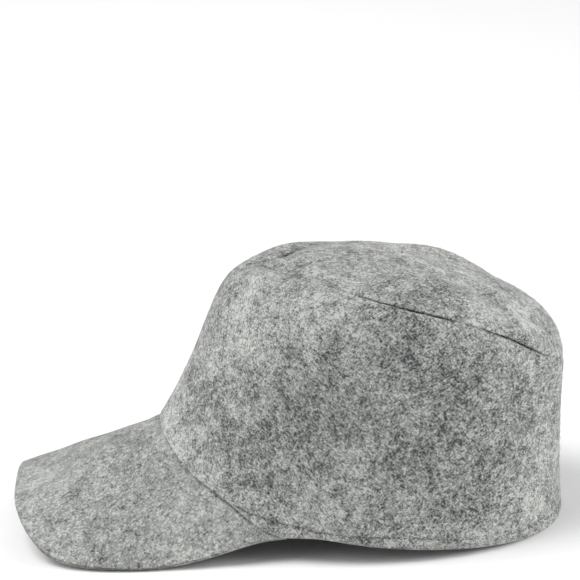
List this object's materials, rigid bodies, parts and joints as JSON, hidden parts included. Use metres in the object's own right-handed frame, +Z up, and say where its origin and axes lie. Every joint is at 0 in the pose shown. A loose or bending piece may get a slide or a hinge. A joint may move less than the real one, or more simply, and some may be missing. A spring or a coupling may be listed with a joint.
{
  "type": "felt cap with a peak",
  "caption": "Plain grey wool-felt cap with a one-piece side wall, an egg-shaped sloping tip and an arched, stiff felt peak.",
  "frame": {"origin": "on the surface that the cap stands on, under the middle of its length and width", "axes": "+Z up, +Y to the back of the head with the peak pointing to -Y, +X to the wearer's left"},
  "size_m": [0.1648, 0.276, 0.1315],
  "materials": {
    "wall_felt": "heather grey wool felt, matt and slightly hairy",
    "tip_felt": "heather grey wool felt, matt and slightly hairy",
    "peak_felt": "heather grey wool felt over a stiff core, matt and finer in grain"
  },
  "bodies": {
    "root": {"crown_wall": "wall_felt", "crown_tip": "tip_felt", "peak": "peak_felt"}
  },
  "joints": []
}
